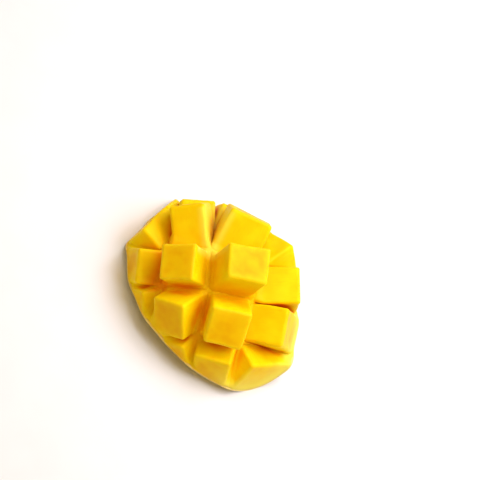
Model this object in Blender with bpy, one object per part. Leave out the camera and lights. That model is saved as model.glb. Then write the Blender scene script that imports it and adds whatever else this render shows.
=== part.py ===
"""A mango half scored into cubes and pushed inside out, resting on its skin rim like an upturned bowl.

The half is first made as it was cut from the fruit: a shallow egg-shaped cap with its flat cut face up.
Knife slots then score it from the cut face almost down to the skin. Last, it is opened out: each block
keeps its shape and leans outwards, and the skin and the thin layer of flesh on it bend between blocks.

Units are metres, +Z is up. X runs along the half, towards its narrower end.
The origin is on the surface that the half rests on, under the middle of its bounding box.
"""

import math

import bmesh
import bpy
import numpy as np
from mathutils import Matrix, Vector

MM = 0.001

# The half as cut from the fruit
HALF_LENGTH = 56.5 * MM  # from the middle to either end of the cut face
HALF_WIDTH = 39.5 * MM
DEPTH = 25 * MM  # from the cut face to the skin at the middle
NARROWING = 0.25  # share of the width lost at the narrow end and gained at the blunt end
CUT_HEIGHT = 0.52  # how far above the fruit's middle the half was cut, as a share of the fruit's half thickness
SEGMENTS = 56
RINGS = 48

# The scoring, in the knife's own axes: the half's long axis lies at SCORING_ANGLE in them
SCORING_ANGLE = math.radians(-61)
SCORING_OFFSET = Vector((-7.9 * MM, -9.6 * MM))  # from the middle of the half to the middle of the scoring
CROSS_CUTS = ((-20 * MM, -0.01), (-1.7 * MM, -0.02), (19.5 * MM, 0.07))  # place along x, slant
LONG_CUTS = ((-20.8 * MM, -0.01), (-1.3 * MM, 0), (17.5 * MM, 0.03), (38.5 * MM, 0.01))  # place along y, slant
KNIFE = 0.6 * MM  # width of a slot
UNCUT = 2.4 * MM  # skin and flesh left under a slot

# How far the blocks lean once the half is pushed inside out, in degrees
COLUMN_LEANS = (-109, -39, -2, 64)  # along x, for the blocks between the cross cuts
ROW_LEANS = (-75, -42, -4, 70, 85)  # along y, for the blocks between the long cuts
CROSS_LEAN = 0.5  # lean along one axis for each millimetre along the other
BLOCK_LEANS = {  # by column and row: what a block leans besides, along x and y, and how far it twists
    (1, 0): (1, 12, 7),
    (2, 0): (1, -1, 6),
    (3, 0): (-13, -3, 7),
    (3, 1): (2, 18, 8),
    (0, 2): (-6, 3, -10),
    (1, 2): (0, -2, 3),
    (2, 2): (0, 1, 3),
    (3, 2): (5, -2, 13),
    (0, 3): (5, 7, -25),
    (1, 3): (-1, 7, -13),
    (2, 3): (2, -14, -17),
    (3, 3): (2, -6, 3),
    (2, 4): (-8, -13, -12),
}
STEEPEST = 90
LEVELLING = 20  # a lean within this much of the steepest one levels off towards it

# How the skin bends between blocks
HINGE = 1.5 * MM  # height of the hinge line above the skin
BEND = 5 * MM  # reach of a bend on each side of a cut
ROOT = 2 * MM  # height above a slot's floor where a block stops bending
SAMPLE = 0.5 * MM  # spacing of the points that find the blocks and their hinges

# How the opened half lies
REST_TURN = (math.radians(6.7), math.radians(5.4))  # about X, then about Y
FLAT = 1 * MM  # height pressed flat where the rim meets the surface

FLESH_COLOUR = (0.94, 0.55, 0.02, 1)


def clear_scene():
    for old in list(bpy.data.objects):
        bpy.data.objects.remove(old, do_unlink=True)


def collection(name):
    made = bpy.data.collections.new(name)
    bpy.context.scene.collection.children.link(made)
    return made


def material(name, colour, roughness):
    made = bpy.data.materials.new(name)
    made.use_nodes = True
    shader = made.node_tree.nodes["Principled BSDF"]
    shader.inputs["Base Color"].default_value = colour
    shader.inputs["Roughness"].default_value = roughness
    shader.inputs["Metallic"].default_value = 0
    made.diffuse_color = colour
    return made


def add_object(name, bm, group):
    mesh = bpy.data.meshes.new(name)
    bm.to_mesh(mesh)
    bm.free()
    made = bpy.data.objects.new(name, mesh)
    group.objects.link(made)
    return made


def fruit_point(x, y):
    """From the knife's axes to the half's own axes."""
    dx, dy = x + SCORING_OFFSET.x, y + SCORING_OFFSET.y
    cos, sin = math.cos(SCORING_ANGLE), math.sin(SCORING_ANGLE)
    return dx * cos + dy * sin, dy * cos - dx * sin


def knife_point(u, v):
    """From the half's own axes to the knife's axes."""
    cos, sin = math.cos(SCORING_ANGLE), math.sin(SCORING_ANGLE)
    return u * cos - v * sin - SCORING_OFFSET.x, u * sin + v * cos - SCORING_OFFSET.y


def outline_share(x, y):
    """0 at the middle of the half and 1 on its outline, for a point in the knife's axes."""
    u, v = fruit_point(x, y)
    width = HALF_WIDTH * (1 - NARROWING * u / HALF_LENGTH)
    return np.minimum((u / HALF_LENGTH) ** 2 + (v / width) ** 2, 1)


def skin_depth(x, y):
    """Depth of the skin below the cut face, 0 on the outline."""
    height = np.sqrt(1 - (1 - CUT_HEIGHT**2) * outline_share(x, y)) - CUT_HEIGHT
    return height * DEPTH / (1 - CUT_HEIGHT)


def whole(bm):
    return bm.verts[:] + bm.edges[:] + bm.faces[:]


def slice_off(bm, point, direction):
    """Cut a closed mesh flat, and keep the side that the direction points away from."""
    section = bmesh.ops.bisect_plane(
        bm, geom=whole(bm), dist=1e-7, plane_co=point, plane_no=direction, clear_outer=True
    )
    rim = [item for item in section["geom_cut"] if isinstance(item, bmesh.types.BMEdge)]
    bmesh.ops.holes_fill(bm, edges=[edge for edge in rim if edge.is_boundary])


def cap(inset, top):
    """The egg-shaped cap, smaller all round by the inset, carried up past the cut face by the top height."""
    bm = bmesh.new()
    bmesh.ops.create_uvsphere(bm, u_segments=SEGMENTS, v_segments=RINGS, radius=1)
    depth = DEPTH - inset
    cut = top * (1 - CUT_HEIGHT) / depth - CUT_HEIGHT
    slice_off(bm, Vector((0, 0, cut)), Vector((0, 0, 1)))
    edge = math.sqrt(1 - CUT_HEIGHT**2)
    for vert in bm.verts:
        u = vert.co.x * (HALF_LENGTH - inset) / edge
        v = vert.co.y * (HALF_WIDTH - inset) / edge * (1 - NARROWING * u / HALF_LENGTH)
        x, y = knife_point(u, v)
        vert.co = (x, y, (vert.co.z + CUT_HEIGHT) / (1 - CUT_HEIGHT) * depth)
    bmesh.ops.recalc_face_normals(bm, faces=bm.faces[:])
    return bm


def cut_lines():
    """A point on each cut, and the direction across it."""
    lines = []
    for place, slant in CROSS_CUTS:
        lines.append((Vector((place, 0, 0)), Vector((1, -slant, 0)).normalized()))
    for place, slant in LONG_CUTS:
        lines.append((Vector((0, place, 0)), Vector((-slant, 1, 0)).normalized()))
    return lines


def blade(point, across):
    """What one stroke of the knife takes: a thin slice of a smaller cap, which stops short of the skin."""
    bm = cap(UNCUT, 3 * MM)
    slice_off(bm, point + across * KNIFE / 2, across)
    slice_off(bm, point - across * KNIFE / 2, -across)
    bmesh.ops.recalc_face_normals(bm, faces=bm.faces[:])
    return bm


def scored_cap(group):
    """The mesh of the cap with every slot cut into it."""
    bm = cap(0, 0)
    for point, across in cut_lines():
        for reach in (-BEND, 0, BEND):
            place = point + across * reach
            bmesh.ops.bisect_plane(bm, geom=whole(bm), dist=1e-7, plane_co=place, plane_no=across)
    flat = add_object("half before opening", bm, group)
    for number, (point, across) in enumerate(cut_lines()):
        slot = flat.modifiers.new(f"slot {number}", "BOOLEAN")
        slot.operation = "DIFFERENCE"
        slot.solver = "EXACT"
        slot.object = add_object(f"knife {number}", blade(point, across), group)
    evaluated = flat.evaluated_get(bpy.context.evaluated_depsgraph_get())
    scored = bpy.data.meshes.new_from_object(evaluated)
    for used in list(group.objects):
        bpy.data.objects.remove(used, do_unlink=True)
    return scored


def passed(cuts, along, other, reach):
    """How far each point has passed each cut, from 0 to 1, smooth within the reach on both sides of it."""
    shares = [np.ones_like(along)]
    for place, slant in cuts:
        share = np.clip((along - place - slant * other) / reach / 2 + 0.5, 0, 1)
        shares.append(share * share * (3 - 2 * share))
    return shares + [np.zeros_like(along)]


def block_shares(x, y, reach):
    """The share of each block in each point: one row of the array for each block."""
    columns = passed(CROSS_CUTS, x, y, reach)
    rows = passed(LONG_CUTS, y, x, reach)
    shares = []
    for row in range(len(ROW_LEANS)):
        for column in range(len(COLUMN_LEANS)):
            in_column = columns[column] - columns[column + 1]
            in_row = rows[row] - rows[row + 1]
            shares.append(in_column * in_row)
    return np.array(shares)


def block_samples():
    """A grid of points over the cut face, and the number of the block that each is in, or -1."""
    reach = HALF_LENGTH + HALF_WIDTH
    axis = np.arange(-reach, reach, SAMPLE)
    x, y = np.meshgrid(axis, axis, indexing="ij")
    number = block_shares(x, y, 1e-9).argmax(axis=0)
    return x, y, np.where(outline_share(x, y) < 1, number, -1)


def hinge_point(x, y):
    return np.array([x, y, HINGE - skin_depth(x, y)])


def lean_turn(block, middle):
    """The turn that twists a block and tips it outwards by its lean."""
    row, column = divmod(block, len(COLUMN_LEANS))
    lean = Vector((COLUMN_LEANS[column], ROW_LEANS[row]))
    lean += Vector((middle[1], middle[0])) / MM * CROSS_LEAN
    more_along_x, more_along_y, twist = BLOCK_LEANS.get((column, row), (0, 0, 0))
    lean += Vector((more_along_x, more_along_y))
    over = lean.length - (STEEPEST - LEVELLING)
    if over > 0:
        lean.length = STEEPEST - LEVELLING + LEVELLING * math.tanh(over / LEVELLING)
    tip = Matrix.Rotation(math.radians(lean.length), 3, Vector((-lean.y, lean.x, 0)))
    return np.array(tip @ Matrix.Rotation(math.radians(twist), 3, "Z"))


def opened_blocks():
    """For each block: its middle, its turn, and its place once the blocks meet at their hinges."""
    x, y, number = block_samples()
    present = [block for block in range(number.max() + 1) if (number == block).any()]
    middles = {}
    turns = {}
    for block in present:
        here = number == block
        middles[block] = hinge_point(x[here].mean(), y[here].mean())
        turns[block] = lean_turn(block, middles[block])
    equations = []
    offsets = []
    for first, second in ((np.s_[:-1, :], np.s_[1:, :]), (np.s_[:, :-1], np.s_[:, 1:])):
        meet = (number[first] >= 0) & (number[second] >= 0) & (number[first] != number[second])
        pairs = zip(number[first][meet], number[second][meet], x[first][meet], y[first][meet])
        for block, other, hinge_x, hinge_y in pairs:
            hinge = hinge_point(hinge_x, hinge_y)
            equation = np.zeros(len(present))
            equation[present.index(block)] = 1
            equation[present.index(other)] = -1
            equations.append(equation)
            offsets.append(turns[other] @ (hinge - middles[other]) - turns[block] @ (hinge - middles[block]))
    equations.append(np.ones(len(present)))
    offsets.append(sum(middles.values()))
    places = np.linalg.lstsq(np.array(equations), np.array(offsets), rcond=None)[0]
    return {block: (middles[block], turns[block], place) for block, place in zip(present, places)}


def open_out(points):
    """Where the points of the scored half go when it is pushed inside out."""
    x, y, z = points.T
    height = z + skin_depth(x, y)
    stiff = np.clip((height - UNCUT) / ROOT, 0, 1)
    stiff = stiff * stiff * (3 - 2 * stiff)
    reach = BEND * (1 - stiff) + 0.4 * KNIFE * stiff
    shares = block_shares(x, y, reach)
    opened = np.zeros_like(points)
    total = np.zeros(len(points))
    for block, (middle, turn, place) in opened_blocks().items():
        share = shares[block]
        opened += share[:, None] * (place + (points - middle) @ turn.T)
        total += share
    return opened / total[:, None]


def set_down(bm):
    """Turn the long axis to X, lay the half on its rim and press the rim's lowest spots flat."""
    turn = Matrix.Rotation(REST_TURN[1], 3, "Y") @ Matrix.Rotation(REST_TURN[0], 3, "X")
    turn = turn @ Matrix.Rotation(-SCORING_ANGLE, 3, "Z")
    bmesh.ops.transform(bm, matrix=turn.to_4x4(), verts=bm.verts)
    lowest = min(vert.co.z for vert in bm.verts)
    slice_off(bm, Vector((0, 0, lowest + FLAT)), Vector((0, 0, -1)))
    low = Vector([min(vert.co[axis] for vert in bm.verts) for axis in range(3)])
    high = Vector([max(vert.co[axis] for vert in bm.verts) for axis in range(3)])
    middle = (low + high) / 2
    bmesh.ops.translate(bm, vec=(-middle.x, -middle.y, -low.z), verts=bm.verts)


def mango_half(group, workshop):
    scored = scored_cap(workshop)
    bm = bmesh.new()
    bm.from_mesh(scored)
    bpy.data.meshes.remove(scored)
    bmesh.ops.triangulate(bm, faces=bm.faces[:])
    points = np.array([vert.co for vert in bm.verts])
    for vert, place in zip(bm.verts, open_out(points)):
        vert.co = place
    set_down(bm)
    bmesh.ops.triangulate(bm, faces=bm.faces[:])
    bmesh.ops.recalc_face_normals(bm, faces=bm.faces[:])
    made = add_object("mango_half", bm, group)
    made.data.materials.append(material("mango flesh", FLESH_COLOUR, 0.35))


clear_scene()
mango_half(collection("mango"), collection("knives"))
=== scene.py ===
"""The finished look of a mango half that was scored into cubes and pushed inside out.

The flesh and the skin are made fine enough for close views: first flat, as the half was cut, then opened out
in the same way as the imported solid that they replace. Lengths are in metres. The flat half lies in the
knife's axes, with its cut face at z = 0 and its skin below.
"""

import math

import bpy
import numpy as np
from mathutils import Matrix, Vector, noise
from mathutils.bvhtree import BVHTree


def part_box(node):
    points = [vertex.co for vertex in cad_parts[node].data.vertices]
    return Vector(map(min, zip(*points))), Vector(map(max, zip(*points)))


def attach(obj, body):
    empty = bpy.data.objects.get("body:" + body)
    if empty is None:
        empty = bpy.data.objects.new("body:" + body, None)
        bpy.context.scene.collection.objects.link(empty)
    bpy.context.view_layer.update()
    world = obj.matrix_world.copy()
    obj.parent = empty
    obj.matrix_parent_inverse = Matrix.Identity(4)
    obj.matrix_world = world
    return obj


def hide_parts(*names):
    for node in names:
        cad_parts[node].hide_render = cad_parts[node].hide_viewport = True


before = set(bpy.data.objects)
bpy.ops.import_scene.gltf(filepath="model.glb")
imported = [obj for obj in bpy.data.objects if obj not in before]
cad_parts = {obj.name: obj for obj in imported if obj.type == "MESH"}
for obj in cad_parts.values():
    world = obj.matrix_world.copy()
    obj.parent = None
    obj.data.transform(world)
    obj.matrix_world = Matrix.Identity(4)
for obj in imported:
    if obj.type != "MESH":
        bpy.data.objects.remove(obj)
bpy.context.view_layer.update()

MM = 0.001

# The half as cut from the fruit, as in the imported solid
HALF_LENGTH = 56.5 * MM  # from the middle to either end of the cut face
HALF_WIDTH = 39.5 * MM
DEPTH = 25 * MM  # from the cut face to the skin at the middle
NARROWING = 0.25  # share of the width lost at the narrow end and gained at the blunt end
CUT_HEIGHT = 0.52  # of the cut above the fruit's middle, as a share of half the fruit's thickness
FARTHEST_SHARE = 1.3  # the skin's curve is carried on this far past the outline

# The scoring, in the knife's own axes: the half's long axis lies at SCORING_ANGLE in them
SCORING_ANGLE = math.radians(-61)
SCORING_OFFSET = (-7.9 * MM, -9.6 * MM)  # from the middle of the half to the middle of the scoring
CROSS_CUTS = ((-20 * MM, -0.01), (-1.7 * MM, -0.02), (19.5 * MM, 0.07))  # place along x, slant
LONG_CUTS = ((-20.8 * MM, -0.01), (-1.3 * MM, 0), (17.5 * MM, 0.03), (38.5 * MM, 0.01))  # the same along y
KNIFE = 0.6 * MM  # width of a slot
UNCUT = 2.4 * MM  # skin and flesh left under a slot

# How far the blocks lean once the half is pushed inside out, in degrees
COLUMN_LEANS = (-109, -39, -2, 64)  # along x, for the blocks between the cross cuts
ROW_LEANS = (-75, -42, -4, 70, 85)  # along y, for the blocks between the long cuts
CROSS_LEAN = 0.5  # lean along one axis for each millimetre along the other
BLOCK_LEANS = {  # by column and row: what a block leans besides, along x and y, and how far it twists
    (1, 0): (1, 12, 7),
    (2, 0): (1, -1, 6),
    (3, 0): (-13, -3, 7),
    (3, 1): (2, 18, 8),
    (0, 2): (-6, 3, -10),
    (1, 2): (0, -2, 3),
    (2, 2): (0, 1, 3),
    (3, 2): (5, -2, 13),
    (0, 3): (5, 7, -25),
    (1, 3): (-1, 7, -13),
    (2, 3): (2, -14, -17),
    (3, 3): (2, -6, 3),
    (2, 4): (-8, -13, -12),
}
STEEPEST = 90  # lean of any block
LEVELLING = 20  # a lean within this much of the steepest one levels off towards it

# How the skin bends between blocks
HINGE = 1.5 * MM  # height of the hinge line above the skin
BEND = 5 * MM  # reach of a bend on each side of a cut
STIFF_BEND = 0.4 * KNIFE  # the same above a block's root, where it has to end inside the slot
ROOT = 2 * MM  # height above a slot's floor where a block stops bending
SAMPLE = 0.5 * MM  # spacing of the points that find the blocks and their hinges
SHARP = 1e-9  # a reach so short that each point belongs to one block

# How the opened half lies
REST_TURN = (math.radians(6.7), math.radians(5.4))  # about X, then about Y
FLAT = 1 * MM  # height pressed flat where the rim meets the surface

# The fine mesh of the flesh
EDGE = 1.5 * MM  # radius of the cubes' edges
RIM_EDGE = 0.25 * MM  # the same where the flesh thins out against the skin
OVERLAP = 0.1 * MM  # how far the flesh reaches into the skin
SLOPE_STEP = 0.1 * MM  # step that the skin's slope is measured over
PITCH = 0.66 * MM  # spacing of the grid that finds the flesh's surface
SLOT_LINES = tuple(offset * MM for offset in (-1.3, -0.95, -0.62, -0.3, 0, 0.3, 0.62, 0.95, 1.3))  # at a cut
TOP_LEVELS = tuple(level * MM for level in (0.3, 0.05, -0.2, -0.45, -0.75, -1.1))  # at the cut face
MARGIN = 2 * MM  # how far the grid reaches past the half
SETTLING = 6  # rounds that even out the grid's steps
SETTLING_SHARE = 0.5  # how far a point goes towards its neighbours in one round
SURFACE_STEP = 0.02 * MM  # step that the slope towards the surface is measured over
LEAST_STEEPNESS = 0.2  # keeps a point from being thrown far where that slope is small
NEARLY_NONE = 1e-9  # keeps the length of a point's move above 0, as a share of the longest move

# The fine mesh of the skin
SKIN = 0.8 * MM  # its thickness
SKIN_SEGMENTS = 360  # points in a ring
SKIN_RINGS = 66  # rings from the middle to the rim, on either side
FIRST_RING = 0.02  # where the first one lies, as a share of the way
RIM_PLACES = (0.3, 0.7)  # two more rings over the rim, as shares of its width
RIM_RISE = 0.12 * MM  # how far the rim rises above the cut face

# Unevenness of cut flesh and of skin
WANDER = 0.45 * MM  # how far a cube's faces and edges wander from straight
WANDER_LENGTH = 13 * MM
WANDER_RISE = 6 * MM  # above a slot's floor, the height over which the wandering sets in
BLOCK_STEP = (0.8, 1.7, 0)  # sets each block's wandering apart from the next one's
RIPPLE = 0.09 * MM
RIPPLE_LENGTH = 3.2 * MM
LEAST_RIPPLE = 0.3  # share of the ripple on the skin and in the slots
NOISE_SEED = 5  # without it the noise differs from run to run
NOISE_STEP = Vector((17.3, 7.7, 3.1))  # sets one kind of noise apart from the next

# Where the cuts are lit and kept free of painted shade, and the stretches of two cuts with painted light and
# with painted shade on their walls, from end to end
LIT_SPOT = (6 * MM, 12 * MM)
LIT_STRETCH = ((-2.1 * MM, 17 * MM), (-2.4 * MM, 40 * MM))
SHADE_STRETCH = ((-20 * MM, -1 * MM), (-20.2 * MM, 14 * MM))

# How far each point of the flesh is shut in by the flesh around it, which sets where shade is painted on it
LOOKS = 48  # directions that are looked in, over the whole ball
LOOK_START = 0.3 * MM  # how far off the surface a look starts
LOWEST_LOOK = 0.05  # looks closer to the surface than this, as a share, are left out
SIGHT = 20 * MM
SOFTENING = 5  # rounds that even out the steps between the looks

# The camera
VIEW_ELEVATION = math.radians(54.84)
VIEW_AZIMUTH = math.radians(25.97)
VIEW_ROLL = math.radians(45.18)
VIEW_DISTANCE = 1.6
VIEW_AIM = Vector((-0.01877, 0.01981, 0.01753))
FOCAL_MM = 242.53
SENSOR_MM = 36
FARTHEST_SEEN = 20  # from the camera

# The lights: name, direction in the camera's axes, distance, size, power and colour
LIGHTS = (
    ("key", (0.60, 0.60, 0.50), 0.5, 0.35, 1.6, (1, 1, 1.2)),
    ("side", (0.80, 0.10, 0.60), 0.5, 0.35, 1.25, (1, 1, 1.2)),
    ("front", (0.25, 0.35, 0.90), 0.6, 0.4, 0.65, (1.12, 0.92, 0.7)),
)
LIGHT_AIM = Vector((0, 0, 0.02))  # the place that they shine on

# The room
WORLD_COLOUR = (1, 0.80, 0.42, 1)
WORLD_STRENGTH = 0.38
FLOOR_REACH = 4  # from the middle to each side


def fruit_point(x, y):
    """From the knife's axes to the half's own axes."""
    dx, dy = x + SCORING_OFFSET[0], y + SCORING_OFFSET[1]
    cos, sin = math.cos(SCORING_ANGLE), math.sin(SCORING_ANGLE)
    return dx * cos + dy * sin, dy * cos - dx * sin


def knife_point(u, v):
    """From the half's own axes to the knife's axes."""
    cos, sin = math.cos(SCORING_ANGLE), math.sin(SCORING_ANGLE)
    return u * cos - v * sin - SCORING_OFFSET[0], u * sin + v * cos - SCORING_OFFSET[1]


def outline_share(x, y):
    """0 at the middle of the half, 1 on its outline and more outside it."""
    u, v = fruit_point(x, y)
    width = HALF_WIDTH * (1 - NARROWING * u / HALF_LENGTH)
    return (u / HALF_LENGTH) ** 2 + (v / width) ** 2


def depth_at(share):
    """Depth of the skin below the cut face: 0 on the outline, negative outside it."""
    height = np.sqrt(1 - (1 - CUT_HEIGHT**2) * np.minimum(share, FARTHEST_SHARE)) - CUT_HEIGHT
    return height * DEPTH / (1 - CUT_HEIGHT)


def skin_depth(x, y):
    """Depth of the skin's outside below the cut face."""
    return depth_at(outline_share(x, y))


def smooth_step(share):
    """0 up to 0, 1 from 1 on, and a smooth rise between them."""
    share = np.clip(share, 0, 1)
    return share * share * (3 - 2 * share)


# The opening out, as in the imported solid


def passed(cuts, along, other, reach):
    """How far each point has passed each cut, from 0 to 1, smooth within the reach on both sides of it."""
    shares = [np.ones_like(along)]
    for place, slant in cuts:
        shares.append(smooth_step((along - place - slant * other) / reach / 2 + 0.5))
    return shares + [np.zeros_like(along)]


def block_shares(x, y, reach):
    """The share of each block in each point: one row of the array for each block."""
    columns = passed(CROSS_CUTS, x, y, reach)
    rows = passed(LONG_CUTS, y, x, reach)
    shares = []
    for row in range(len(ROW_LEANS)):
        for column in range(len(COLUMN_LEANS)):
            in_column = columns[column] - columns[column + 1]
            in_row = rows[row] - rows[row + 1]
            shares.append(in_column * in_row)
    return np.array(shares)


def block_samples():
    """A grid of points over the cut face, and the number of the block that each is in, or -1."""
    reach = HALF_LENGTH + HALF_WIDTH
    axis = np.arange(-reach, reach, SAMPLE)
    x, y = np.meshgrid(axis, axis, indexing="ij")
    number = block_shares(x, y, SHARP).argmax(axis=0)
    return x, y, np.where(outline_share(x, y) < 1, number, -1)


def hinge_point(x, y):
    return np.array([x, y, HINGE - skin_depth(x, y)])


def lean_turn(block, middle):
    """The turn that twists a block and tips it outwards by its lean."""
    row, column = divmod(block, len(COLUMN_LEANS))
    lean = Vector((COLUMN_LEANS[column], ROW_LEANS[row]))
    lean += Vector((middle[1], middle[0])) / MM * CROSS_LEAN
    more_along_x, more_along_y, twist = BLOCK_LEANS.get((column, row), (0, 0, 0))
    lean += Vector((more_along_x, more_along_y))
    over = lean.length - (STEEPEST - LEVELLING)
    if over > 0:
        lean.length = STEEPEST - LEVELLING + LEVELLING * math.tanh(over / LEVELLING)
    tip = Matrix.Rotation(math.radians(lean.length), 3, Vector((-lean.y, lean.x, 0)))
    return np.array(tip @ Matrix.Rotation(math.radians(twist), 3, "Z"))


def opened_blocks():
    """For each block: its middle, its turn, and its place once the blocks meet at their hinges."""
    x, y, number = block_samples()
    present = [block for block in range(number.max() + 1) if (number == block).any()]
    middles = {}
    turns = {}
    for block in present:
        here = number == block
        middles[block] = hinge_point(x[here].mean(), y[here].mean())
        turns[block] = lean_turn(block, middles[block])
    equations = []
    offsets = []
    for first, second in ((np.s_[:-1, :], np.s_[1:, :]), (np.s_[:, :-1], np.s_[:, 1:])):
        meet = (number[first] >= 0) & (number[second] >= 0) & (number[first] != number[second])
        pairs = zip(number[first][meet], number[second][meet], x[first][meet], y[first][meet])
        for block, other, hinge_x, hinge_y in pairs:
            hinge = hinge_point(hinge_x, hinge_y)
            equation = np.zeros(len(present))
            equation[present.index(block)] = 1
            equation[present.index(other)] = -1
            equations.append(equation)
            offsets.append(turns[other] @ (hinge - middles[other]) - turns[block] @ (hinge - middles[block]))
    equations.append(np.ones(len(present)))
    offsets.append(sum(middles.values()))
    places = np.linalg.lstsq(np.array(equations), np.array(offsets), rcond=None)[0]
    return {block: (middles[block], turns[block], place) for block, place in zip(present, places)}


def open_out(points, blocks):
    """Where points of the flat half go when it is pushed inside out."""
    x, y, z = points.T
    stiff = smooth_step((z + skin_depth(x, y) - UNCUT) / ROOT)
    reach = BEND * (1 - stiff) + STIFF_BEND * stiff
    shares = block_shares(x, y, reach)
    opened = np.zeros_like(points)
    total = np.zeros(len(points))
    for block, (middle, turn, place) in blocks.items():
        share = shares[block]
        opened += share[:, None] * (place + (points - middle) @ turn.T)
        total += share
    return opened / total[:, None]


# The flat flesh


def cut_distance(cuts, along, other):
    """Distance from the nearest of these cuts."""
    nearest = np.full_like(along, np.inf)
    for place, slant in cuts:
        away = np.abs(along - place - slant * other) / math.hypot(1, slant)
        nearest = np.minimum(nearest, away)
    return nearest


def shortfall(distance):
    """How far a point falls short of being an edge's radius away, squared."""
    return np.maximum(EDGE - distance, 0) ** 2


def flesh_field(points):
    """How far inside the flesh a point of the flat half is: negative outside, with rounded edges."""
    x, y, z = points[..., 0], points[..., 1], points[..., 2]
    height = z + skin_depth(x, y)
    slope_x = (skin_depth(x + SLOPE_STEP, y) - skin_depth(x - SLOPE_STEP, y)) / SLOPE_STEP / 2
    slope_y = (skin_depth(x, y + SLOPE_STEP) - skin_depth(x, y - SLOPE_STEP)) / SLOPE_STEP / 2
    upright = 1 / np.sqrt(1 + slope_x**2 + slope_y**2)
    under_slot = (UNCUT - height) * upright
    over_skin = (height - SKIN + OVERLAP) * upright
    beside_cross = cut_distance(CROSS_CUTS, x, y) - KNIFE / 2
    beside_long = cut_distance(LONG_CUTS, y, x) - KNIFE / 2
    short_of_cuts = shortfall(beside_cross) + shortfall(beside_long)
    short = np.minimum(short_of_cuts, shortfall(under_slot))
    short += shortfall(-z) + shortfall(over_skin * EDGE / RIM_EDGE)
    inside_cuts = np.maximum(np.minimum(beside_cross, beside_long), under_slot)
    inner = np.minimum.reduce((-z, over_skin, inside_cuts))
    return np.where(short > 0, EDGE - np.sqrt(short), inner)


def grid_lines(cuts, low, high):
    """Grid lines across these cuts: evenly spaced, and closer together at each cut."""
    places = [place for place, _ in cuts]
    lines = [place + offset for place in places for offset in SLOT_LINES]
    clear = SLOT_LINES[-1] + PITCH / 2
    stops = [low] + [place + side * clear for place in places for side in (-1, 1)] + [high]
    for start, end in zip(stops[::2], stops[1::2]):
        lines += list(np.linspace(start, end, max(2, round((end - start) / PITCH))))
    return np.sort(np.array(lines))


def level_lines():
    """Grid lines from under the skin to above the cut face, closer together at the cut face."""
    below = np.arange(TOP_LEVELS[-1] - PITCH, -DEPTH - 2 * PITCH, -PITCH)
    return np.concatenate([TOP_LEVELS, below])[::-1]


def flat_grid():
    """The nodes of a grid round the flat half, whose lines run along the cuts."""
    middle = np.array(knife_point(0, 0))
    cos, sin = abs(math.cos(SCORING_ANGLE)), abs(math.sin(SCORING_ANGLE))
    wide = HALF_WIDTH * (1 + NARROWING)
    reach = np.array([HALF_LENGTH * cos + wide * sin, HALF_LENGTH * sin + wide * cos]) + MARGIN
    low, high = middle - reach, middle + reach
    across = grid_lines(CROSS_CUTS, low[0], high[0])
    along = grid_lines(LONG_CUTS, low[1], high[1])
    slant_x = np.interp(across, *zip(*CROSS_CUTS))[:, None]
    slant_y = np.interp(along, *zip(*LONG_CUTS))[None, :]
    x = (across[:, None] + slant_x * along[None, :]) / (1 - slant_x * slant_y)
    y = along[None, :] + slant_y * x
    levels = level_lines()
    nodes = np.empty(x.shape + (len(levels), 3))
    nodes[..., 0] = x[..., None]
    nodes[..., 1] = y[..., None]
    nodes[..., 2] = levels
    return nodes


def surface_net(nodes, values):
    """The surface where the values on a grid pass 0: its points and its four-sided faces."""
    cells = tuple(size - 1 for size in values.shape)
    total = np.zeros((np.prod(cells), 3))
    count = np.zeros(np.prod(cells))
    faces = []
    for axis in range(3):
        start = tuple(np.s_[:-1] if number == axis else np.s_[:] for number in range(3))
        end = tuple(np.s_[1:] if number == axis else np.s_[:] for number in range(3))
        first, second = values[start], values[end]
        place = np.nonzero((first > 0) != (second > 0))
        share = first[place] / (first[place] - second[place])
        point = nodes[start][place] * (1 - share[:, None]) + nodes[end][place] * share[:, None]
        ring = []
        for back_one, back_two in ((0, 0), (1, 0), (1, 1), (0, 1)):
            cell = list(place)
            cell[(axis + 1) % 3] = cell[(axis + 1) % 3] - back_one
            cell[(axis + 2) % 3] = cell[(axis + 2) % 3] - back_two
            index = np.ravel_multi_index(cell, cells)
            ring.append(index)
            np.add.at(total, index, point)
            np.add.at(count, index, 1)
        ring = np.array(ring).T
        out = first[place] > 0
        faces.append(np.where(out[:, None], ring, ring[:, ::-1]))
    used = np.nonzero(count)[0]
    renumber = np.zeros(len(count), int)
    renumber[used] = np.arange(len(used))
    return total[used] / count[used, None], renumber[np.concatenate(faces)]


def neighbour_means(points, faces):
    """For each point, the mean of the points that it shares a face's side with."""
    total = np.zeros_like(points)
    count = np.zeros(len(points))
    for corner in range(4):
        here, there = faces[:, corner], faces[:, (corner + 1) % 4]
        for one, other in ((here, there), (there, here)):
            np.add.at(total, one, points[other])
            np.add.at(count, one, 1)
    return total / count[:, None]


def onto_surface(points):
    """Each point moved straight to where the flesh's surface is."""
    value = flesh_field(points)
    slope = np.empty_like(points)
    for axis in range(3):
        shift = np.zeros(3)
        shift[axis] = SURFACE_STEP
        slope[:, axis] = (flesh_field(points + shift) - flesh_field(points - shift)) / SURFACE_STEP / 2
    steepness = np.maximum((slope**2).sum(axis=1), LEAST_STEEPNESS)
    move = -(value / steepness)[:, None] * slope
    limit = PITCH / 2
    length = np.maximum(np.linalg.norm(move, axis=1), limit * NEARLY_NONE)
    return points + move * np.minimum(1, limit / length)[:, None]


def flat_flesh():
    """The flesh of the flat half: its points and its four-sided faces."""
    nodes = flat_grid()
    points, faces = surface_net(nodes, flesh_field(nodes))
    for _ in range(SETTLING):
        points += (neighbour_means(points, faces) - points) * SETTLING_SHARE
        points = onto_surface(onto_surface(points))
    return points, faces


# The flat skin


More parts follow.
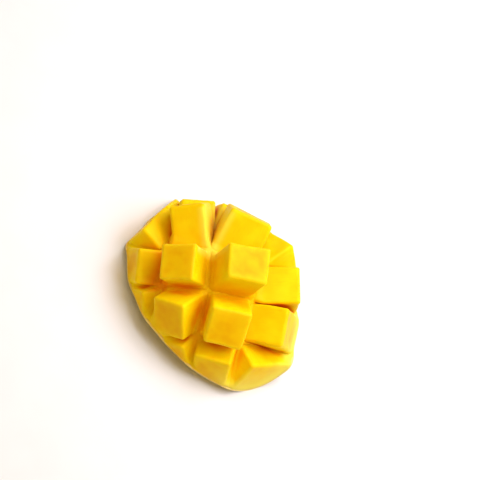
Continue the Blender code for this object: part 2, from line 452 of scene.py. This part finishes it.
def skin_profile():
    """The skin's line from the middle of its outside over the rim to the middle of its inside.

    Each point is how far out it lies, as a share of the outline, and its height.
    """
    inner_share = (1 - ((SKIN * (1 - CUT_HEIGHT) / DEPTH) + CUT_HEIGHT) ** 2) / (1 - CUT_HEIGHT**2)
    inner_rim = math.sqrt(inner_share)
    spread = np.sin(np.linspace(FIRST_RING, 1, SKIN_RINGS) * math.pi / 2)
    outside = [(reach, -depth_at(reach**2)) for reach in spread]
    rim = [(1 - (1 - inner_rim) * place, RIM_RISE) for place in RIM_PLACES]
    inside = [(reach * inner_rim, SKIN - depth_at((reach * inner_rim) ** 2)) for reach in spread[::-1]]
    return outside + rim + inside


def flat_skin():
    """A closed shell: rings of points along the profile, and a middle point at each end."""
    turn = np.linspace(0, 2 * math.pi, SKIN_SEGMENTS, endpoint=False)
    rings = []
    for reach, z in skin_profile():
        u = reach * HALF_LENGTH * np.cos(turn)
        v = reach * HALF_WIDTH * (1 - NARROWING * u / HALF_LENGTH) * np.sin(turn)
        x, y = knife_point(u, v)
        rings.append(np.stack([x, y, np.full_like(x, z)], axis=1))
    x, y = knife_point(0, 0)
    ends = [[x, y, -DEPTH], [x, y, SKIN - DEPTH]]
    faces = []
    around = np.arange(SKIN_SEGMENTS)
    following = np.roll(around, -1)
    for number in range(len(rings) - 1):
        low, high = number * SKIN_SEGMENTS, (number + 1) * SKIN_SEGMENTS
        faces += np.stack([low + around, low + following, high + following, high + around], axis=1).tolist()
    last = (len(rings) - 1) * SKIN_SEGMENTS
    outer, inner = len(rings) * SKIN_SEGMENTS, len(rings) * SKIN_SEGMENTS + 1
    faces += np.stack([around, np.full_like(around, outer), following], axis=1).tolist()
    faces += np.stack([last + following, np.full_like(around, inner), last + around], axis=1).tolist()
    return np.concatenate(rings + [np.array(ends)]), faces


# Unevenness


def wander(flat, length, kind):
    """A smooth random direction for each point, the same in each run."""
    noise.seed_set(NOISE_SEED)
    offset = NOISE_STEP * kind
    return np.array([noise.noise_vector(Vector(point) / length + offset) for point in flat])


def block_numbers(flat):
    """The number of the block that each point is in."""
    return block_shares(flat[:, 0], flat[:, 1], SHARP).argmax(axis=0)


def uneven(flat, opened):
    """The opened points, with each block's faces and edges a little off straight."""
    height = flat[:, 2] + skin_depth(flat[:, 0], flat[:, 1])
    free = smooth_step((height - UNCUT) / WANDER_RISE)[:, None]
    apart = block_numbers(flat)[:, None] * np.array(BLOCK_STEP)
    moved = opened + free * WANDER * wander(flat + apart * WANDER_LENGTH, WANDER_LENGTH, 1)
    rippled = LEAST_RIPPLE + (1 - LEAST_RIPPLE) * free
    return moved + rippled * RIPPLE * wander(flat, RIPPLE_LENGTH, 2)


def lay_down(flesh, skin):
    """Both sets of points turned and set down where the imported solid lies, with the rim pressed flat."""
    turn = Matrix.Rotation(REST_TURN[1], 3, "Y") @ Matrix.Rotation(REST_TURN[0], 3, "X")
    turn = np.array(turn @ Matrix.Rotation(-SCORING_ANGLE, 3, "Z"))
    flesh, skin = flesh @ turn.T, skin @ turn.T
    low = np.minimum(flesh.min(axis=0), skin.min(axis=0))
    high = np.maximum(flesh.max(axis=0), skin.max(axis=0))
    solid_low, solid_high = (np.array(corner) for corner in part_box("mango_half"))
    shift = (solid_low + solid_high) / 2 - (low + high) / 2
    shift[2] = solid_low[2] - low[2] - FLAT
    flesh, skin = flesh + shift, skin + shift
    flesh[:, 2] = np.maximum(flesh[:, 2], solid_low[2])
    skin[:, 2] = np.maximum(skin[:, 2], solid_low[2])
    return flesh, skin


def store(mesh, name, kind, values):
    """Keep a number or a vector for each point, for the materials."""
    attribute = mesh.attributes.new(name, kind, "POINT")
    field = "vector" if kind == "FLOAT_VECTOR" else "value"
    attribute.data.foreach_set(field, np.ascontiguousarray(values, np.float32).ravel())


def ball_directions(count):
    """Directions spread evenly over a ball."""
    numbers = np.arange(count) + 0.5
    z = 1 - 2 * numbers / count
    turn = numbers * math.pi * (3 - math.sqrt(5))
    ring = np.sqrt(1 - z**2)
    return np.stack([ring * np.cos(turn), ring * np.sin(turn), z], axis=1)


def shut_in(mesh, faces):
    """How far the flesh around each point shuts it in: 0 in the open, 1 where it can't look out."""
    points = np.empty((len(mesh.vertices), 3), np.float32)
    normals = np.empty_like(points)
    mesh.vertices.foreach_get("co", points.ravel())
    mesh.vertex_normals.foreach_get("vector", normals.ravel())
    tree = BVHTree.FromPolygons(points.tolist(), faces.tolist())
    starts = (points + normals * LOOK_START).tolist()
    seen, stopped = np.zeros(len(points)), np.zeros(len(points))
    for direction in ball_directions(LOOKS):
        share = np.maximum(normals @ direction, 0)
        seen += share
        look = Vector(direction)
        for index in np.flatnonzero(share > LOWEST_LOOK).tolist():
            if tree.ray_cast(starts[index], look, SIGHT)[0]:
                stopped[index] += share[index]
    shut = (stopped / seen)[:, None]
    for _ in range(SOFTENING):
        shut = neighbour_means(shut, faces)
    return shut


def stretch_distance(stretch, x, y):
    """Distance from a straight stretch that runs mostly along y, from one end of it to the other."""
    (start_x, start_y), (end_x, end_y) = stretch
    stretch_x = np.interp(y, (start_y, end_y), (start_x, end_x))
    return np.hypot(x - stretch_x, y - np.clip(y, start_y, end_y))


def store_places(mesh, flat):
    """Keep where each point lies in the flat half, in millimetres, for the materials."""
    x, y, z = flat.T
    thickness = skin_depth(x, y)
    inset = np.minimum(cut_distance(CROSS_CUTS, x, y), cut_distance(LONG_CUTS, y, x))
    store(mesh, "flat", "FLOAT_VECTOR", flat / MM)
    store(mesh, "across", "FLOAT", x / MM)
    store(mesh, "below", "FLOAT", -z / MM)
    store(mesh, "height", "FLOAT", (z + thickness) / MM)
    store(mesh, "thickness", "FLOAT", thickness / MM)
    store(mesh, "inset", "FLOAT", inset / MM)
    store(mesh, "from_lit_spot", "FLOAT", np.hypot(x - LIT_SPOT[0], y - LIT_SPOT[1]) / MM)
    store(mesh, "from_lit_stretch", "FLOAT", stretch_distance(LIT_STRETCH, x, y) / MM)
    store(mesh, "from_shade_stretch", "FLOAT", stretch_distance(SHADE_STRETCH, x, y) / MM)


def piece(name, points, faces, flat):
    """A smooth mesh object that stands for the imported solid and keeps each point's place in the flat half."""
    mesh = bpy.data.meshes.new(name)
    mesh.from_pydata(points.tolist(), [], faces)
    mesh.shade_smooth()
    store_places(mesh, flat)
    made = bpy.data.objects.new(name, mesh)
    bpy.context.scene.collection.objects.link(made)
    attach(made, "root")
    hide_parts("mango_half")
    return made


def mango_pieces():
    """The flesh and the skin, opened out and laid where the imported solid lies."""
    blocks = opened_blocks()
    flesh, flesh_faces = flat_flesh()
    skin, skin_faces = flat_skin()
    flesh_open = uneven(flesh, open_out(flesh, blocks))
    skin_open = uneven(skin, open_out(skin, blocks))
    flesh_open, skin_open = lay_down(flesh_open, skin_open)
    flesh_piece = piece("mango_flesh", flesh_open, flesh_faces.tolist(), flesh)
    # how shut in each point is, which sets where shade is painted
    store(flesh_piece.data, "shut", "FLOAT", shut_in(flesh_piece.data, flesh_faces))
    return flesh_piece, piece("mango_skin", skin_open, skin_faces, skin)


# Materials


class Nodes:
    """Short calls that add nodes to one material and join them."""

    def __init__(self, name):
        self.material = bpy.data.materials.new(name)
        self.material.use_nodes = True
        self.tree = self.material.node_tree
        self.shader = self.tree.nodes["Principled BSDF"]

    def add(self, kind, **settings):
        node = self.tree.nodes.new(kind)
        for name, value in settings.items():
            setattr(node, name, value)
        return node

    def join(self, source, target):
        self.tree.links.new(source, target)

    def feed(self, name, source):
        self.join(source, self.shader.inputs[name])

    def set(self, **values):
        for name, value in values.items():
            self.shader.inputs[name.replace("_", " ")].default_value = value

    def number(self, name):
        """A number stored for each point."""
        return self.add("ShaderNodeAttribute", attribute_name=name).outputs["Fac"]

    def place(self):
        """Each point's place in the flat half, in millimetres."""
        return self.add("ShaderNodeAttribute", attribute_name="flat").outputs["Vector"]

    def math(self, operation, first, second):
        node = self.add("ShaderNodeMath", operation=operation)
        for socket, value in zip(node.inputs, (first, second)):
            if isinstance(value, bpy.types.NodeSocket):
                self.join(value, socket)
            else:
                socket.default_value = value
        return node.outputs[0]

    def ramp(self, value, ramp):
        """A smooth way from one result to another while the value goes from one number to another."""
        node = self.add("ShaderNodeMapRange", interpolation_type="SMOOTHSTEP")
        self.join(value, node.inputs["Value"])
        for name, number in zip(("From Min", "From Max", "To Min", "To Max"), ramp):
            node.inputs[name].default_value = number
        return node.outputs["Result"]

    def mix(self, share, first, second):
        """The first colour where the share is 0 and the second where it is 1."""
        node = self.add("ShaderNodeMix", data_type="RGBA")
        self.join(share, node.inputs[0])
        for socket, value in zip((node.inputs[6], node.inputs[7]), (first, second)):
            if isinstance(value, bpy.types.NodeSocket):
                self.join(value, socket)
            else:
                socket.default_value = (*value, 1)
        return node.outputs[2]

    def stretched(self, vector, scale):
        node = self.add("ShaderNodeMapping")
        self.join(vector, node.inputs["Vector"])
        node.inputs["Scale"].default_value = scale
        return node.outputs["Vector"]

    def noise(self, vector, scale, detail, roughness=0.5):
        node = self.add("ShaderNodeTexNoise")
        self.join(vector, node.inputs["Vector"])
        node.inputs["Scale"].default_value = scale
        node.inputs["Detail"].default_value = detail
        node.inputs["Roughness"].default_value = roughness
        return node.outputs["Fac"]

    def bump(self, height, distance, strength, before=None):
        node = self.add("ShaderNodeBump")
        self.join(height, node.inputs["Height"])
        node.inputs["Distance"].default_value = distance
        node.inputs["Strength"].default_value = strength
        if before:
            self.join(before, node.inputs["Normal"])
        return node.outputs["Normal"]


# Colours of the flesh
# the cut faces are painted darker and the slot walls lighter, as painted shade and painted light on the same
# flesh; the bright ones are random patches
FLESH_FACE_SHADED = (0.87, 0.45, 0.001)
FLESH_FACE_SHADED_BRIGHT = (0.94, 0.58, 0.002)
# painted highlight along the cubes' rounded edges
FLESH_EDGE_HIGHLIGHT = (0.95, 0.69, 0.006)
FLESH_WALL_LIT = (0.94, 0.63, 0.001)
FLESH_WALL_LIT_BRIGHT = (0.98, 0.73, 0.003)
# orange of the fibre streaks, and painted shade in the slots and where the flesh is shut in
FLESH_FIBRE_AND_SHADE = (0.92, 0.24, 0.001)
# the deepest painted shade, where the flesh is most shut in
FLESH_DEEPEST_SHADE = (0.75, 0.15, 0.001)
# pale flesh by the peel, also used as painted light and painted sheen
FLESH_PALE_AND_LIT = (0.98, 0.82, 0.09)

# Noises of the flesh: scale for each millimetre, detail, roughness
FLESH_PATCHES = (0.09, 2)
FIBRES = (1.6, 3, 0.6)
FIBRE_STRETCH = (1, 1, 0.12)  # they run straight down from the cut face
FLESH_GRAIN = (2.6, 4, 0.6)
FIBRE_BUMP = (0.08 * MM, 0.5)  # height, strength
FLESH_GRAIN_BUMP = (0.06 * MM, 0.5)
EDGE_STRAY = (0.22, 3)
EDGE_STRAY_BY = 5.0  # mm
RIM_STRAY = (0.25, 2)
RIM_STRAY_BY = 4.0  # mm

# Ramps of the flesh: from and to, in millimetres or in shares, and the results there
PATCH_RAMP = (0.35, 0.65, 0, 1)  # of noise, from darker to brighter flesh
EDGE_HIGHLIGHT_RAMP = (2.0, 8.0, 0.8, 0)  # from a cut, how far the painted highlight of a block's edge reaches over its face
WALL_RAMP = (2.0, 16.0, 0, 0.35)  # below the cut face, painted shade darkening down a wall
FACE_RAMP = (0.3, 1.3, 0, 1)  # below the cut face, from the painted-shaded face to the painted-lit wall
FIBRE_RAMP = (0.52, 0.75, 0, 0.14)  # of noise
INNER_RAMP = (5.0, 12.0, 0, 1)  # thickness, from the thin rim inwards, where the painted shade of low flesh sets in
LOW_SHADE_RAMP = (2.5, 6.0, 0.35, 0)  # above the skin, painted shade near the slot floors
SHUT_SHADE_RAMP = (0.52, 0.95, 0, 1)  # how shut in, where the painted shade sets in
# how shut in, where the deepest painted shade sets in
SHUT_DEEPEST_SHADE_RAMP = (0.68, 0.95, 0, 1)
SHADE_STRETCH_RAMP = (1.0, 3.0, 1, 0)  # from the stretch of painted shade
SHADE_STRETCH_HEIGHT_RAMP = (3.0, 12.0, 0.8, 0)  # above the skin, where that painted shade fades out
LIT_SPOT_RAMP = (12.0, 24.0, 0.05, 1)  # from the lit spot, how much painted shade the flesh may take
LIT_STRETCH_RAMP = (1.0, 5.0, 0.55, 0)  # from the lit stretch, how strong the painted light on its walls is
LIT_STRETCH_WALL_RAMP = (1.0, 3.0, 0, 1)  # below the cut face
LIT_SIDE_RAMP = (0.0, 25.0, 0, 0.9)  # across the scoring, towards the narrow end's side, which faces the lights
PALE_FACE_RAMP = (5.0, 20.0, 1, 0)  # thickness, on the cut face
PALE_DEPTH_RAMP = (0.5, 2.5, 1, 0)  # below the cut face
PALE_RIM_RAMP = (4.0, 11.0, 1, 0)  # thickness, on the walls too
GREEN_RIM_RAMP = (2.0, 6.5, 0.4, 0)  # thickness
FLESH_GLOSS_RAMP = (0.3, 0.7, 0.36, 0.52)  # of grain, to roughness
CLEARNESS_RAMP = (2.5, 6.0, 0, 0.45)  # above the skin, how far light goes into the flesh


def cut_colour(nodes, below):
    """Faces of blocks in painted shade with a painted highlight along their edges, and the walls between them
    in painted light, darkening downwards.
    """
    flat = nodes.place()
    patches = nodes.ramp(nodes.noise(flat, *FLESH_PATCHES), PATCH_RAMP)
    stray = nodes.math("MULTIPLY", nodes.noise(flat, *EDGE_STRAY), EDGE_STRAY_BY)
    inset = nodes.math("ADD", nodes.number("inset"), stray)
    face = nodes.mix(patches, FLESH_FACE_SHADED, FLESH_FACE_SHADED_BRIGHT)
    # painted highlight along each face's edges
    face = nodes.mix(nodes.ramp(inset, EDGE_HIGHLIGHT_RAMP), face, FLESH_EDGE_HIGHLIGHT)
    wall = nodes.mix(patches, FLESH_WALL_LIT, FLESH_WALL_LIT_BRIGHT)
    # painted shade: walls darken towards the face colour further down
    wall = nodes.mix(nodes.ramp(below, WALL_RAMP), wall, FLESH_FACE_SHADED)
    return nodes.mix(nodes.ramp(below, FACE_RAMP), face, wall)


def with_painted_shade(nodes, colour, height, thickness):
    """The colour with orange painted shade on flesh that is low or shut in, away from the lit spot."""
    shut = nodes.number("shut")
    low = nodes.math("MULTIPLY", nodes.ramp(height, LOW_SHADE_RAMP), nodes.ramp(thickness, INNER_RAMP))
    deep = nodes.math("MAXIMUM", low, nodes.ramp(shut, SHUT_SHADE_RAMP))
    # painted shade along one stretch of a cut
    stretch_shade = nodes.ramp(nodes.number("from_shade_stretch"), SHADE_STRETCH_RAMP)
    stretch_shade = nodes.math("MULTIPLY", stretch_shade, nodes.ramp(height, SHADE_STRETCH_HEIGHT_RAMP))
    deep = nodes.math("MAXIMUM", deep, stretch_shade)
    # near the lit spot the painted shade is held back
    away_from_lit_spot = nodes.ramp(nodes.number("from_lit_spot"), LIT_SPOT_RAMP)
    colour = nodes.mix(nodes.math("MULTIPLY", deep, away_from_lit_spot), colour, FLESH_FIBRE_AND_SHADE)
    deepest = nodes.math("MULTIPLY", nodes.ramp(shut, SHUT_DEEPEST_SHADE_RAMP), away_from_lit_spot)
    return nodes.mix(deepest, colour, FLESH_DEEPEST_SHADE)


def paled_and_lit(nodes, colour, below, thickness):
    """The colour with painted light on one stretch's walls, and with pale, greenish flesh along the rim on the
    side facing the lights: pale flesh by the peel, partly painted sheen.
    """
    # painted light on the walls of one stretch of a cut
    beside = nodes.ramp(nodes.number("from_lit_stretch"), LIT_STRETCH_RAMP)
    beside = nodes.math("MULTIPLY", beside, nodes.ramp(below, LIT_STRETCH_WALL_RAMP))
    colour = nodes.mix(beside, colour, FLESH_PALE_AND_LIT)
    stray = nodes.math("MULTIPLY", nodes.noise(nodes.place(), *RIM_STRAY), RIM_STRAY_BY)
    near_rim = nodes.math("ADD", thickness, stray)
    # the pale rim shows only on the side facing the lights: partly pale flesh by the peel, partly painted sheen
    lit_side = nodes.ramp(nodes.number("across"), LIT_SIDE_RAMP)
    pale_face = nodes.ramp(near_rim, PALE_FACE_RAMP)
    pale_face = nodes.math("MULTIPLY", pale_face, nodes.ramp(below, PALE_DEPTH_RAMP))
    pale = nodes.math("MAXIMUM", pale_face, nodes.ramp(near_rim, PALE_RIM_RAMP))
    colour = nodes.mix(nodes.math("MULTIPLY", pale, lit_side), colour, FLESH_PALE_AND_LIT)
    greener = nodes.math("MULTIPLY", nodes.ramp(near_rim, GREEN_RIM_RAMP), lit_side)
    return nodes.mix(greener, colour, SKIN_GREEN)


def flesh_material():
    nodes = Nodes("mango flesh")
    height = nodes.number("height")
    thickness = nodes.number("thickness")
    below = nodes.number("below")
    fibres = nodes.noise(nodes.stretched(nodes.place(), FIBRE_STRETCH), *FIBRES)
    grain = nodes.noise(nodes.place(), *FLESH_GRAIN)
    colour = cut_colour(nodes, below)
    colour = nodes.mix(nodes.ramp(fibres, FIBRE_RAMP), colour, FLESH_FIBRE_AND_SHADE)
    # painted shade in low and shut-in flesh
    colour = with_painted_shade(nodes, colour, height, thickness)
    nodes.feed("Base Color", paled_and_lit(nodes, colour, below, thickness))
    nodes.feed("Roughness", nodes.ramp(grain, FLESH_GLOSS_RAMP))
    fibre_bump = nodes.bump(fibres, *FIBRE_BUMP)
    nodes.feed("Normal", nodes.bump(grain, *FLESH_GRAIN_BUMP, fibre_bump))
    nodes.feed("Subsurface Weight", nodes.ramp(height, CLEARNESS_RAMP))
    nodes.set(
        Subsurface_Radius=(1.0, 0.6, 0.1),
        Subsurface_Scale=1.8 * MM,
        Specular_IOR_Level=0.05,
    )
    return nodes.material


# Colours of the skin
SKIN_YELLOW = (0.90, 0.62, 0.12)
SKIN_PALE = (0.94, 0.74, 0.26)
SKIN_GREEN = (0.62, 0.60, 0.13)
LENTICEL = (0.32, 0.16, 0.04)

# Noises of the skin: scale for each millimetre, detail, roughness
SKIN_PATCHES = (0.06, 4)
GREEN_PATCHES = (0.035, 2)
DOTTED_PATCHES = (0.2, 2)
SKIN_GRAIN = (1.4, 4, 0.6)
SKIN_GRAIN_BUMP = (0.15 * MM, 0.4)
DOTS_PER_MM = 0.45

# Ramps of the skin: from and to, and the results there
SKIN_PATCH_RAMP = (0.35, 0.7, 0, 1)
GREEN_RAMP = (0.58, 0.75, 0, 0.5)
DOT_RAMP = (0.05, 0.13, 1, 0)  # from a dot's middle, as a share of the way between two dots
DOTTED_RAMP = (0.45, 0.6, 0, 0.75)
SKIN_GLOSS_RAMP = (0.3, 0.7, 0.36, 0.5)


def skin_material():
    nodes = Nodes("mango skin")
    flat = nodes.place()
    patches = nodes.ramp(nodes.noise(flat, *SKIN_PATCHES), SKIN_PATCH_RAMP)
    green = nodes.ramp(nodes.noise(flat, *GREEN_PATCHES), GREEN_RAMP)
    cells = nodes.add("ShaderNodeTexVoronoi")
    nodes.join(flat, cells.inputs["Vector"])
    cells.inputs["Scale"].default_value = DOTS_PER_MM
    dotted = nodes.ramp(nodes.noise(flat, *DOTTED_PATCHES), DOTTED_RAMP)
    dots = nodes.math("MULTIPLY", nodes.ramp(cells.outputs["Distance"], DOT_RAMP), dotted)
    grain = nodes.noise(flat, *SKIN_GRAIN)
    colour = nodes.mix(patches, SKIN_YELLOW, SKIN_PALE)
    colour = nodes.mix(green, colour, SKIN_GREEN)
    nodes.feed("Base Color", nodes.mix(dots, colour, LENTICEL))
    nodes.feed("Roughness", nodes.ramp(grain, SKIN_GLOSS_RAMP))
    nodes.feed("Normal", nodes.bump(grain, *SKIN_GRAIN_BUMP))
    nodes.set(
        Subsurface_Weight=0.25,
        Subsurface_Radius=(1.0, 0.6, 0.2),
        Subsurface_Scale=1.0 * MM,
        Specular_IOR_Level=0.4,
    )
    return nodes.material


# The floor's look
FLOOR_GREY = (0.90, 0.90, 0.895)
FLOOR_WHITE = (0.92, 0.92, 0.915)
FLOOR_CLOUDS = (40, 3)  # scale for each metre, detail
FLOOR_RAMP = (0.3, 0.7, 0, 1)


def floor_material():
    nodes = Nodes("pale floor")
    coordinates = nodes.add("ShaderNodeTexCoord").outputs["Object"]
    shade = nodes.ramp(nodes.noise(coordinates, *FLOOR_CLOUDS), FLOOR_RAMP)
    nodes.feed("Base Color", nodes.mix(shade, FLOOR_GREY, FLOOR_WHITE))
    nodes.set(Roughness=0.8, Specular_IOR_Level=0.1)
    return nodes.material


# Floor, light and camera


def camera_axes():
    """Right, up and back of the camera, as columns."""
    flat_back = Vector((math.sin(VIEW_AZIMUTH), -math.cos(VIEW_AZIMUTH), 0))
    back = flat_back * math.cos(VIEW_ELEVATION) + Vector((0, 0, math.sin(VIEW_ELEVATION)))
    right = Vector((0, 0, 1)).cross(back).normalized()
    right = Matrix.Rotation(VIEW_ROLL, 3, back) @ right
    up = back.cross(right)
    return Matrix((right, up, back)).transposed()


def add_camera():
    data = bpy.data.cameras.new("camera")
    data.lens = FOCAL_MM
    data.sensor_width = SENSOR_MM
    data.clip_end = FARTHEST_SEEN
    made = bpy.data.objects.new("camera", data)
    bpy.context.scene.collection.objects.link(made)
    axes = camera_axes()
    made.matrix_world = Matrix.Translation(VIEW_AIM + axes.col[2] * VIEW_DISTANCE) @ axes.to_4x4()
    bpy.context.scene.camera = made


def add_floor():
    mesh = bpy.data.meshes.new("floor")
    corners = [(FLOOR_REACH * x, FLOOR_REACH * y, 0) for x, y in ((-1, -1), (1, -1), (1, 1), (-1, 1))]
    mesh.from_pydata(corners, [], [(0, 1, 2, 3)])
    made = bpy.data.objects.new("floor", mesh)
    made.data.materials.append(floor_material())
    bpy.context.scene.collection.objects.link(made)


def add_light(name, direction, distance, size, power, colour):
    """A square softbox in a direction given in the camera's axes: right, up and towards the camera."""
    data = bpy.data.lights.new(name, "AREA")
    data.shape = "SQUARE"
    data.size = size
    data.energy = power
    data.color = colour
    made = bpy.data.objects.new(name, data)
    bpy.context.scene.collection.objects.link(made)
    away = (camera_axes() @ Vector(direction)).normalized()
    made.location = LIGHT_AIM + away * distance
    made.rotation_euler = away.to_track_quat("Z", "Y").to_euler()


def add_world():
    world = bpy.data.worlds.new("studio")
    world.use_nodes = True
    background = world.node_tree.nodes["Background"]
    background.inputs["Color"].default_value = WORLD_COLOUR
    background.inputs["Strength"].default_value = WORLD_STRENGTH
    bpy.context.scene.world = world


def main():
    flesh, skin = mango_pieces()
    flesh.data.materials.append(flesh_material())
    skin.data.materials.append(skin_material())
    add_camera()
    add_floor()
    for light in LIGHTS:
        add_light(*light)
    add_world()
    bpy.context.scene.view_settings.view_transform = "Standard"


main()
